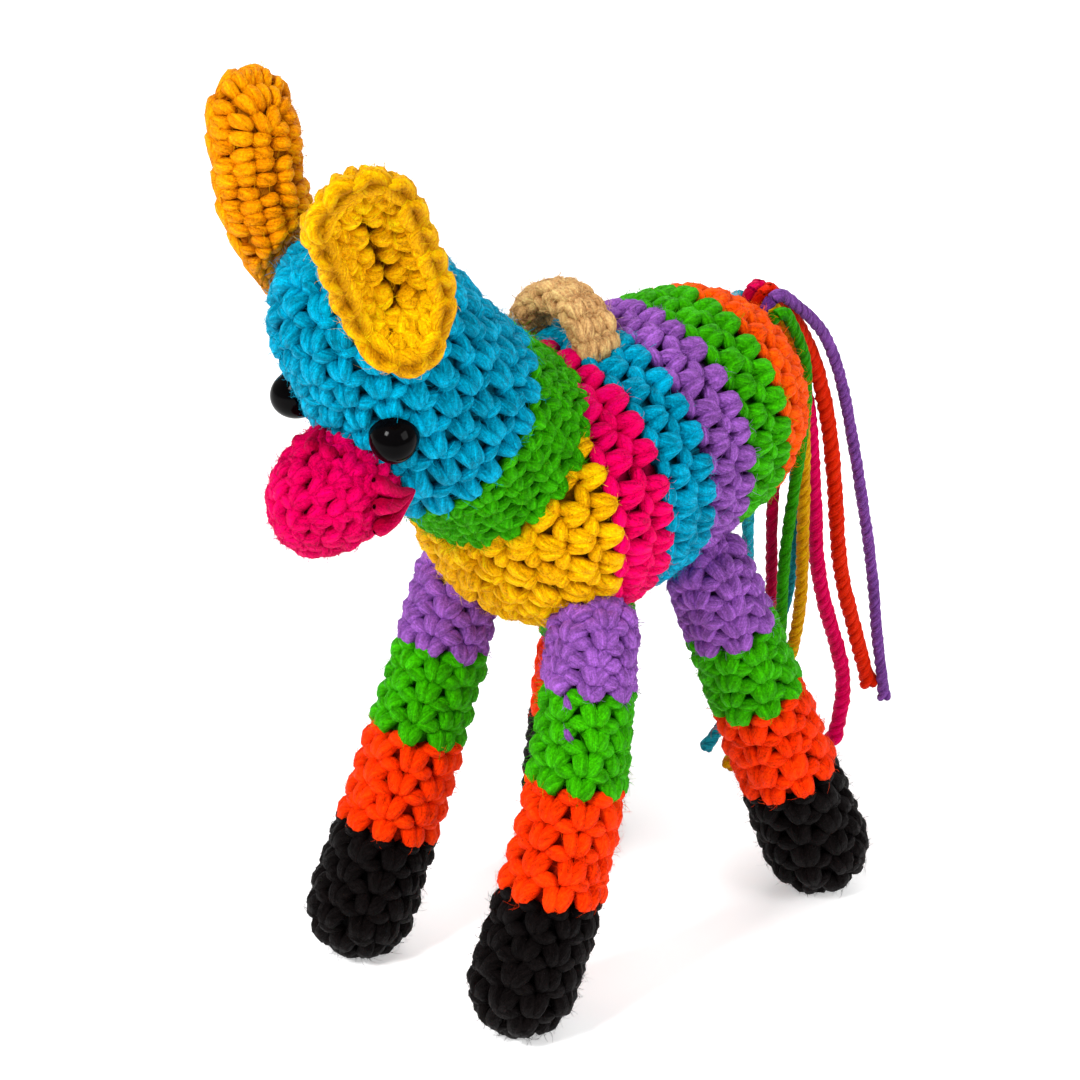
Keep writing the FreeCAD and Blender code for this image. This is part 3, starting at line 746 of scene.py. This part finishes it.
def crochet_head():
    skin = head_skin()
    edge = s_near(skin, JAW + NECK_AXIS * CAP_EDGE)
    cap = Knit("crochet_head_cap", "turquoise", seed=21)
    crochet_rounds(cap, skin, 0.0, edge, 10, work=-1, wide=4.8 * MM, plump=0.95)
    cap.lining(skin, SLIVER, edge, outer=-0.6 * MM)
    cap.build("head", "head_cap_turquoise")
    neck = Knit("crochet_neck_band", "green", seed=22)
    crochet_rounds(neck, skin, edge, skin.length, 5, work=-1, plump=0.82)
    neck.lining(skin, edge, skin.length)
    neck.build("head", "neck_band_green")
    stuff("head_stuffing", skin, "head", seed=92, short=HEAD_FIBRE_SHORT)


MUZZLE_ROWS, MUZZLE_TURN = 60, math.radians(150)
MUZZLE_FULL = 0.2             # the lower, the more of its width the muzzle keeps at its seam
# pink drawn out over the head, in mm: the tip, and where its strands start
MUZZLE_TIPS = (
    ((9.9, -49.6, 102.6), ((10.0, -56.5, 106.0), (10.8, -57.0, 102.5), (10.2, -56.5, 98.5))),
    ((-1.6, -58.2, 112.4), ((-3.5, -61.0, 110.0), (0.0, -61.5, 110.6), (3.0, -60.5, 110.0))),
)
TIP_BOW, TIP_RADII, TIP_POINTS = 0.8 * MM, (1.5 * MM, 0.55 * MM), 8


def crochet_muzzle():
    axis = unit(JAW - MUZZLE)
    long, wide = MUZZLE_LONG - STITCH_DEPTH, MUZZLE_WIDE - STITCH_DEPTH
    angles = np.linspace(0, MUZZLE_TURN, MUZZLE_ROWS)
    centres = MUZZLE - axis * (long * np.cos(angles))[:, None]
    sines = np.sin(angles)
    radii = wide * np.where(angles < math.pi / 2, sines, sines ** MUZZLE_FULL)
    skin = Skin(centres, np.tile(axis, (MUZZLE_ROWS, 1)), radii, UP)
    knit = Knit("crochet_muzzle", "rose", seed=23)
    crochet_rounds(knit, skin, 0.0, skin.length * 0.94, 7, wide=4.4 * MM,
                   strands=FELTED_STITCH, plump=0.9)
    share = np.linspace(0, 1, TIP_POINTS)[None, :, None]
    for tip, starts in MUZZLE_TIPS:
        tip = np.array(tip) * MM + ORIGIN
        starts = np.array(starts) * MM + ORIGIN
        outward = unit(tip - (CROWN + JAW) / 2)
        bow = outward * TIP_BOW * np.sin(math.pi * share)
        spines = starts[:, None] * (1 - share) + tip * share + bow
        radii = np.linspace(*TIP_RADII, TIP_POINTS) * np.ones((len(starts), 1))
        normals = np.broadcast_to(outward, spines.shape)
        knit.tubes(spines, normals, radii, np.full(len(starts), 0.5))
        knit.fuzz(spines, normals, radii, 12)
    knit.lining(skin, SLIVER, skin.length, outer=-0.8 * MM, inner=-1.3 * MM)
    knit.build("head", "muzzle_pink")
    stuff("muzzle_stuffing", skin, "head", seed=93)


# ---- legs
# name, yarn, slot and rounds of each stretch, from the foot to the hip
LEG_STRETCHES = (("hoof", "black", "black", 6), ("orange", "flame", "orange", 4),
                 ("green", "green", "green", 4), ("purple", "purple", "purple", 6))
# how far above and below the hip, where a leg is sewn to the body, its fabric would bend;
# these only go into the bend handed to Knit.build, which does not bend the mesh
BEND_ABOVE, BEND_BELOW = 1.0 * MM, 12.0 * MM
LEG_NARROWING = 1.3 * MM      # from the orange stretch up to the hip
LEG_SUNK = 3.0 * MM           # stitches deeper than this in the body are left out
LEG_TURN = 0.37               # of each leg's stitches against the last leg's, in stitches
# how much nearer the hip each colour of a leg ends, orange, green, purple
COLOUR_SHIFTS = {"front_left": (2.0 * MM, 3.0 * MM, 4.0 * MM)}
# short ends of purple yarn caught in the green: below the purple, and round from the front
STRAY_ENDS = {"front_left": ((1.6 * MM, 7.4 * MM), (6.8 * MM, 7.0 * MM))}


def leg_skin(name):
    foot, bow = LEGS[name]
    hip = JOINT["hip_" + name]
    foot = np.array((*foot, 0.0)) * MM + ORIGIN
    foot[2] = FOOT_HEIGHT
    axis = unit(hip - foot)
    length = np.linalg.norm(hip - foot)
    leg, hoof = LEG_RADIUS - STITCH_DEPTH, HOOF_RADIUS - STITCH_DEPTH
    top = leg - LEG_NARROWING
    change = length - ORANGE_END
    skin = joined(
        cap_of(foot, axis, hoof), run_of(foot, axis, change, hoof, leg),
        run_of(foot + axis * change, axis, ORANGE_END, leg, top),
        cap_of(hip, axis, top, back=True), zero=np.array((0.0, -1.0, 0.0)))
    share = np.clip(((skin.centres - foot) @ axis) / length, 0, 1)
    skin.centres = skin.centres + np.array(bow) * MM * np.sin(math.pi * share)[:, None]
    return skin, hip, axis


def outside_body(points):
    """Which points are outside the body, or not deep inside it."""
    offset = points - BODY_MIDDLE
    station = offset @ BODY_AXIS
    away = np.linalg.norm(offset - station[:, None] * BODY_AXIS, axis=1)
    return ~(away < body_radius(station, 0.0) - LEG_SUNK)


def lay_stray_end(knit, skin, row, place):
    """A short slanting end of yarn on the stitches, thinner and lower at both of its tips."""
    share = np.linspace(-1, 1, 6)
    s = row + share * 0.9 * MM
    lift = 1.9 * MM - 0.9 * MM * share ** 2
    spine, normals = skin.at(s, place + share * 0.5 * MM, s, lift)
    knit.strand(spine, normals, (0.60 - 0.20 * share ** 2) * MM, 0.5, hairs=10, lifts=PROUD)


def crochet_legs():
    for index, name in enumerate(LEGS):
        skin, hip, axis = leg_skin(name)
        shifts = COLOUR_SHIFTS.get(name, (0.0, 0.0, 0.0))
        marks = [s_near(skin, hip - axis * (reach - shift))
                 for reach, shift in zip((ORANGE_END, GREEN_END, PURPLE_END), shifts)]
        bounds = [0.0, *marks, skin.length]
        for k, (part, colour, slot, rounds) in enumerate(LEG_STRETCHES):
            start, end = bounds[k], bounds[k + 1]
            knit = Knit("crochet_leg_%s_%s" % (name, part), colour, seed=31 + 4 * index + k)
            crochet_rounds(knit, skin, start, end, rounds, phase=LEG_TURN * index, plump=1.08,
                           keep=outside_body)
            knit.lining(skin, start + SLIVER, end - SLIVER, outer=-0.6 * MM)
            bend = None
            if part == "purple":
                for drop, place in STRAY_ENDS.get(name, ()):
                    lay_stray_end(knit, skin, start - drop, place)
                bend = ("torso", hip + axis * BEND_ABOVE, hip - axis * BEND_BELOW)
            knit.build("leg_" + name, "leg_%s_%s" % (name, part),
                       floor=0.0, bend=bend)
        stuff("leg_%s_stuffing" % name, skin, "leg_" + name, seed=94 + index)


# ---- ears
EAR_YARN_DEPTH = 1.9 * MM     # from the outside of the ear to the middle of its yarn
EAR_WALL, EAR_HOLLOW = 0.5 * MM, 3.4 * MM
EAR_RIM = 1.5 * MM            # from the cup's edge to the top of the chain round it
EAR_ROOM = 1.0 * MM           # between the crown ball and the ear laid over it
EAR_LEAST = 4.2 * MM          # depth of the ear where it lies on the crown
EAR_LOWER = 0.93              # length of the lower half of the visual ear, as a share
EAR_TAPER = 0.50              # share of its length over which the ear widens from its base
CHAIN_WIDE, CHAIN_HIGH = 5.2 * MM, 5.0 * MM


def ear_skin(base, length_axis, face):
    """The ear's cup: out over its back, round the rim and down the hollow."""
    length_axis = unit(length_axis)
    face = unit(face - length_axis * np.dot(face, length_axis))
    middle = base + length_axis * (EAR_LONG / 2)
    half = (EAR_LONG - EAR_WIDE) / 2
    out, deep = EAR_WIDE / 2 - EAR_YARN_DEPTH, EAR_DEEP - EAR_YARN_DEPTH
    quarter = np.linspace(0, math.pi / 2, 40)
    turn = np.linspace(0, math.pi, 10)[1:-1]
    reach = np.concatenate([out * np.sin(quarter), out - EAR_WALL + EAR_WALL * np.cos(turn),
                            (out - 2 * EAR_WALL) * np.sin(quarter[::-1])])
    height = np.concatenate([-deep * np.cos(quarter), EAR_WALL * np.sin(turn),
                             -EAR_HOLLOW * np.cos(quarter[::-1])])
    centres = middle + face * height[:, None]
    skin = Skin(centres, np.tile(face, (len(reach), 1)), reach, length_axis, half)
    rim = skin.s[len(quarter) + len(turn) // 2]
    return skin, rim, middle, length_axis, face


def shape_ear(points, middle, length_axis, face, base_width, full_width, sideways):
    """Narrow the ear towards its base, and lay the part that is over the crown on the crown."""
    offset = points - middle
    high = offset @ length_axis
    high = np.where(high < 0, high * EAR_LOWER, high)
    deep = offset @ face
    across = np.cross(length_axis, face)
    share = np.clip((high + EAR_LONG / 2) / (EAR_TAPER * EAR_LONG), 0, 1)
    width = full_width * (base_width + (1 - base_width) * share * (2 - share))
    wide = (offset @ across) * width + sideways * share
    flat = middle + length_axis * high[:, None] + across * wide[:, None]
    to_crown = CROWN - flat
    reach = to_crown @ face
    away = np.linalg.norm(to_crown - face * reach[:, None], axis=1)
    ball = CROWN_RADIUS + EAR_ROOM
    top = reach + np.sqrt(np.maximum(ball ** 2 - away ** 2, 0))
    # off the crown there is nothing to lie on, so the ear keeps its depth
    low = np.maximum(-EAR_DEEP, np.where(away < ball, top, -1.0))
    full = EAR_DEEP + EAR_RIM
    new_full = np.maximum(EAR_RIM, low + EAR_LEAST) - low
    return flat + face * (low + (deep + EAR_DEEP) / full * new_full)[:, None]


def crochet_ears():
    for index, (name, (length_axis, face, yarn, *shape)) in enumerate(EARS.items()):
        skin, rim, middle, length_axis, face = ear_skin(
            JOINT["ear_%s_flop" % name], np.array(length_axis), np.array(face))
        knit = Knit("crochet_ear_" + name, yarn, seed=51 + index)
        crochet_rounds(knit, skin, 0.2 * MM, rim - 1.0 * MM, 3, wide=4.6 * MM, plump=0.96,
                       strands=RIB_STITCH, rough=2.6)
        crochet_rounds(knit, skin, rim + 1.6 * MM, skin.length - 0.8 * MM, 2, work=-1,
                       wide=4.2 * MM, plump=0.92)
        around = skin.row_length(rim)
        count = round(around / CHAIN_WIDE)
        stitch_row(knit, skin, rim, CHAIN_HIGH, np.arange(count) * around / count,
                   around / count, strands=CHAIN_STITCH)
        knit.lining(skin, SLIVER, rim, outer=-0.15 * MM, inner=-0.45 * MM)
        knit.points = [shape_ear(points, middle, length_axis, face, *shape)
                       for points in knit.points]
        knit.build("ear_" + name, "ear_" + name)


# ---- hanging loop
LOOP_MIDDLE, LOOP_RADIUS = np.array((-3.7, -3.8, 110.6)) * MM + ORIGIN, 8.0 * MM
LOOP_ENDS = (-22, 202)        # degrees
STRAP_RADIUS, STRAP_HALF_WIDTH = 1.35 * MM, 1.9 * MM     # to the middle of its yarn
LOOP_ROWS = 60


def crochet_loop():
    angles = np.radians(np.linspace(*LOOP_ENDS, LOOP_ROWS))
    cosines, sines, zeros = np.cos(angles), np.sin(angles), np.zeros(LOOP_ROWS)
    radial = np.stack([cosines, zeros, sines], axis=1)
    axes = np.stack([-sines, zeros, cosines], axis=1)
    skin = Skin(LOOP_MIDDLE + radial * LOOP_RADIUS, axes, np.full(LOOP_ROWS, STRAP_RADIUS),
                np.array((0.0, 1.0, 0.0)), half=STRAP_HALF_WIDTH)
    knit = Knit("crochet_hanging_loop", "tan", seed=61)
    crochet_rounds(knit, skin, 0.0, skin.length, 10, plump=0.72, strands=FELTED_STITCH)
    knit.lining(skin, 0.0, skin.length, outer=-0.1 * MM, inner=-0.7 * MM)
    knit.build("torso", "hanging_loop")


# ---- tail
# yarn, length, and the route of the CAD source in mm
TAIL_STRANDS = {
    "purple": ("purple", 100.5 * MM, (
        (2.7, 42.4, 107.8), (2.5, 50.5, 101.8), (2.0, 57.5, 92.5), (1.5, 62.5, 79.0),
        (1.0, 67.8, 60.0), (1.0, 71.6, 43.5), (1.0, 73.6, 29.0), (1.2, 76.2, 16.0))),
    "red": ("red", 96.0 * MM, (
        (0.0, 42.4, 107.8), (-0.3, 49.3, 100.6), (-0.8, 54.8, 92.0), (-1.0, 59.4, 80.5),
        (-1.0, 62.5, 64.0), (-1.0, 64.2, 47.0), (-1.2, 69.6, 31.5), (-1.0, 74.0, 19.0))),
    "pink": ("pink", 105.2 * MM, (
        (-2.7, 42.4, 107.8), (-2.9, 48.8, 100.3), (-3.0, 53.2, 92.0), (-3.0, 57.0, 80.0),
        (-3.0, 59.2, 62.0), (-3.2, 61.0, 44.0), (-3.0, 67.2, 28.0), (-3.0, 70.2, 17.0),
        (-3.2, 67.2, 8.5))),
    "yellow": ("yellow", 101.0 * MM, (
        (2.7, 40.8, 105.6), (2.7, 45.8, 98.6), (2.4, 48.2, 90.5), (1.4, 51.2, 78.0),
        (0.4, 52.6, 62.0), (0.0, 53.4, 46.0), (-2.2, 54.2, 32.0), (-5.0, 49.6, 20.5),
        (-7.5, 42.8, 10.5))),
    "turquoise": ("teal", 99.1 * MM, (
        (-2.7, 40.8, 105.6), (-2.7, 45.8, 98.6), (-2.7, 48.4, 90.0), (-2.2, 52.0, 77.0),
        (-2.2, 53.6, 62.5), (-3.2, 54.6, 48.0), (-6.0, 53.0, 33.5), (-9.0, 47.6, 22.0),
        (-12.0, 41.6, 13.0))),
    "green": ("green", 89.5 * MM, (
        (5.4, 40.8, 105.6), (5.6, 45.4, 98.4), (5.3, 47.2, 90.0), (3.8, 47.8, 78.0),
        (2.4, 47.0, 65.0), (2.0, 45.8, 52.0), (1.4, 46.6, 40.0), (0.4, 45.2, 28.0),
        (-0.6, 44.2, 18.0))),
    "crimson": ("crimson", 86.3 * MM, (
        (0.0, 40.8, 105.6), (0.0, 45.6, 98.6), (-0.2, 46.9, 90.5), (-0.6, 46.8, 78.0),
        (-1.2, 45.8, 65.0), (-1.8, 47.2, 49.0), (-3.2, 48.4, 34.0), (-3.4, 47.4, 21.0))),
    "teal": ("teal", 76.5 * MM, (
        (-5.4, 40.8, 105.6), (-5.6, 45.4, 98.4), (-5.3, 46.6, 90.0), (-4.6, 44.8, 78.0),
        (-3.6, 42.4, 67.0), (-3.0, 41.8, 56.0), (-3.4, 43.0, 44.0), (-5.0, 41.8, 31.0))),
}
STRAND_FULLNESS = {"red": 1.30, "pink": 1.30, "yellow": 1.08}     # times YARN_RADIUS
# radius of a ply and distance of its middle from the strand's line, as shares of the radius
PLY_RADIUS, PLY_REACH = 0.72, 0.32
FRAY_LONG, FRAY = 3.0 * MM, 0.9     # how far from its cut end a strand opens, and how much
KNOT_RADIUS, KNOT_POINTS = 1.15 * MM, 14
# the bight at the top of a strand: how far in from its start, and how far back up it, in mm
KNOT_ROUTE = ((5.0, 0.2), (2.2, 0.9), (0.7, 0.6), (0.0, -0.6))


def line_of(route):
    """Points along the NURBS line whose control points are the route."""
    curve = bpy.data.curves.new("line", "CURVE")
    curve.dimensions = "3D"
    nurbs = curve.splines.new("NURBS")
    nurbs.points.add(len(route) - 1)
    for point, place in zip(nurbs.points, route):
        point.co = (*(np.array(place) * MM + ORIGIN), 1.0)
    nurbs.order_u = 3
    nurbs.use_endpoint_u = True
    nurbs.resolution_u = 24
    holder = bpy.data.objects.new("line", curve)
    mesh = bpy.data.meshes.new_from_object(holder)
    points = np.array([vertex.co[:] for vertex in mesh.vertices])
    bpy.data.objects.remove(holder)
    bpy.data.curves.remove(curve)
    bpy.data.meshes.remove(mesh)
    return points


def evenly(points, step):
    """The same line with its points a step apart, and their distances along it."""
    along = np.concatenate(([0.0], np.cumsum(np.linalg.norm(np.diff(points, axis=0), axis=1))))
    places = np.linspace(0, along[-1], int(along[-1] / step) + 1)
    return np.stack([np.interp(places, along, points[:, k]) for k in range(3)], axis=1), places


def hang_strands():
    """Tail strands: three plies twisted round each strand's line, loose at the cut end."""
    for index, (name, (colour, length, route)) in enumerate(TAIL_STRANDS.items()):
        full = STRAND_FULLNESS.get(name, 1.0) * YARN_RADIUS
        path, along = evenly(line_of(route), step=0.55 * MM)
        tangents = unit(np.gradient(path, axis=0))
        side = unit(np.cross(tangents, ACROSS + 0.01))
        other = np.cross(tangents, side)
        knit = Knit("yarn_tail_" + name, colour, seed=71 + index)
        pitch = knit.random.uniform(6.0, 7.0) * MM
        fray = np.clip((along - along[-1] + FRAY_LONG) / FRAY_LONG, 0, 1) ** 2
        for ply in range(PLIES):
            angle = 2 * math.pi * (along / pitch + ply / PLIES)
            reach = PLY_REACH * full * (1.0 + FRAY * fray)
            outward = side * np.cos(angle)[:, None] + other * np.sin(angle)[:, None]
            radii = PLY_RADIUS * full * (1.0 + 0.05 * np.sin(along / (1.7 * MM) + ply))
            # partly painted light: the strands' tone is set above the middle to stand in for light
            # reaching them from all round; each ply is also a little lighter than the one before
            knit.strand(path + outward * reach[:, None], outward, radii, 0.55 + 0.15 * ply,
                        sides=8)
        piece = knit.build("tail", "tail_strand_" + name)


def crochet_knot():
    """Each strand comes out of the rump as a short bight laid over the fabric."""
    rump = BODY_MIDDLE + BODY_AXIS * RUMP_STATION
    for index, (name, (colour, _, route)) in enumerate(TAIL_STRANDS.items()):
        start, following = (np.array(place) * MM + ORIGIN for place in route[:2])
        outward = unit(start - rump)
        down = unit(following - start)
        knit = Knit("tail_knot_" + name, colour, seed=81 + index)
        controls = [start - outward * inward * MM - down * back * MM
                    for inward, back in KNOT_ROUTE]
        spine = spline(controls, KNOT_POINTS)
        knit.strand(spine, np.broadcast_to(outward, spine.shape),
                    np.full(KNOT_POINTS, KNOT_RADIUS), 0.4, hairs=10)
        knit.build("tail", "tail_knot")


# ---- stuffing
FIBRE_LIFT, FIBRE_STEPS = -1.9 * MM, 40     # of the fibre's surface, and points round it
FIBRE_WAVES, FIBRE_LUMP = 260.0, 0.35 * MM     # how close its lumps lie, and how high


def stuff(node, skin, body, seed, short=SLIVER):
    """The loose fibre inside a shell, as one lumpy closed mass that ends short of the shell."""
    rows = np.linspace(SLIVER, skin.length - short, max(20, int(skin.length / MM)))
    lumps = np.random.default_rng(seed).normal(0, 1.0, (6, 3))
    share = np.arange(FIBRE_STEPS) / FIBRE_STEPS
    rings = []
    for row in rows:
        s = np.full(FIBRE_STEPS, row)
        points, normals = skin.at(s, share * skin.row_length(row), s,
                                  np.full(FIBRE_STEPS, FIBRE_LIFT))
        swell = sum(np.sin(points @ (lump * FIBRE_WAVES)) for lump in lumps) / len(lumps)
        rings.append(points + normals * (swell * FIBRE_LUMP)[:, None])
    grid = np.arange(len(rows) * FIBRE_STEPS).reshape(-1, FIBRE_STEPS)
    ends = [grid[0][::-1].tolist(), grid[-1].tolist()]
    mesh = bpy.data.meshes.new(node + "_fibre")
    mesh.from_pydata(np.concatenate(rings).tolist(), [], ring_faces(grid).tolist() + ends)
    mesh.shade_smooth()
    mesh.materials.append(FIBREFILL)
    piece = put_in_scene(node + "_fibre", mesh)
    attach(piece, body)
    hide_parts(node)


hang_strands()
crochet_body()
crochet_head()
crochet_muzzle()
crochet_legs()
crochet_ears()
crochet_loop()
crochet_knot()


# ---- eyes
def make_plastic(name, dark, light, rough, shine):
    """Moulded plastic with a faint swirl, between two colours and two roughnesses."""
    n = Nodes(name)
    swirl = n.noise(n.place(), 400.0, 3.0)
    n.set(Base_Color=n.ramp(swirl, ((0.3, dark), (0.8, light))), Specular_IOR_Level=shine,
          Roughness=n.ramp(swirl, ((0.2, (rough[0],) * 3), (0.9, (rough[1],) * 3))))
    return n.material


def paint_node(name, material):
    node = frame["nodes"][name]
    if node.material_slots:
        for slot in node.material_slots:
            slot.material = material
    else:
        node.data.materials.append(material)


eye_plastic = make_plastic("eye_gloss", (0.0006, 0.0005, 0.0006), (0.0020, 0.0015, 0.0018),
                           (0.05, 0.11), 0.045)
washer_plastic = make_plastic("eye_washer", (0.58, 0.58, 0.56), (0.66, 0.66, 0.64),
                              (0.35, 0.50), 0.5)
for side_name in EARS:
    paint_node("eye_" + side_name, eye_plastic)
    paint_node("eye_washer_" + side_name, washer_plastic)


# ---- stage and light
FLOOR_GLOW, WORLD_LIGHT = 0.42, 0.46
# place, side and watts of each square soft light
LIGHTS = {
    "key": ((0.02, -0.80, 0.85), 0.26, 11.0),
    "fill": ((0.80, 0.25, 0.55), 0.45, 3.5),
    "back": ((-0.45, 0.65, 0.70), 0.5, 3.5),
}
LIGHT_AIM = Vector((0.0, 0.0, 80.0 * MM))


def make_stage():
    n = Nodes("floor")
    grain = n.noise(n.place(), 60.0, 3.0)
    n.set(Base_Color=n.ramp(grain, ((0.3, (0.90,) * 3), (0.7, (0.93,) * 3))), Roughness=0.9,
          Emission_Color=(1.0, 1.0, 1.0, 1.0), Emission_Strength=FLOOR_GLOW)
    bpy.ops.mesh.primitive_plane_add(size=6.0, location=(0, 0, -0.2 * MM))
    floor = bpy.context.object
    floor.name = "floor"
    floor.data.materials.append(n.material)


def make_light(name, place, size, energy):
    data = bpy.data.lights.new(name, "AREA")
    data.size = size
    data.energy = energy
    light = put_in_scene(name, data)
    light.location = place
    light.rotation_euler = (LIGHT_AIM - Vector(place)).to_track_quat("-Z", "Y").to_euler()


def make_studio():
    world = bpy.data.worlds.new("studio")
    bpy.context.scene.world = world
    world.use_nodes = True
    background = world.node_tree.nodes["Background"]
    background.inputs["Color"].default_value = (1.0, 1.0, 1.0, 1.0)
    background.inputs["Strength"].default_value = WORLD_LIGHT
    for name, (place, size, energy) in LIGHTS.items():
        make_light(name, place, size, energy)
    bpy.context.scene.view_settings.view_transform = "Standard"


make_stage()
make_studio()
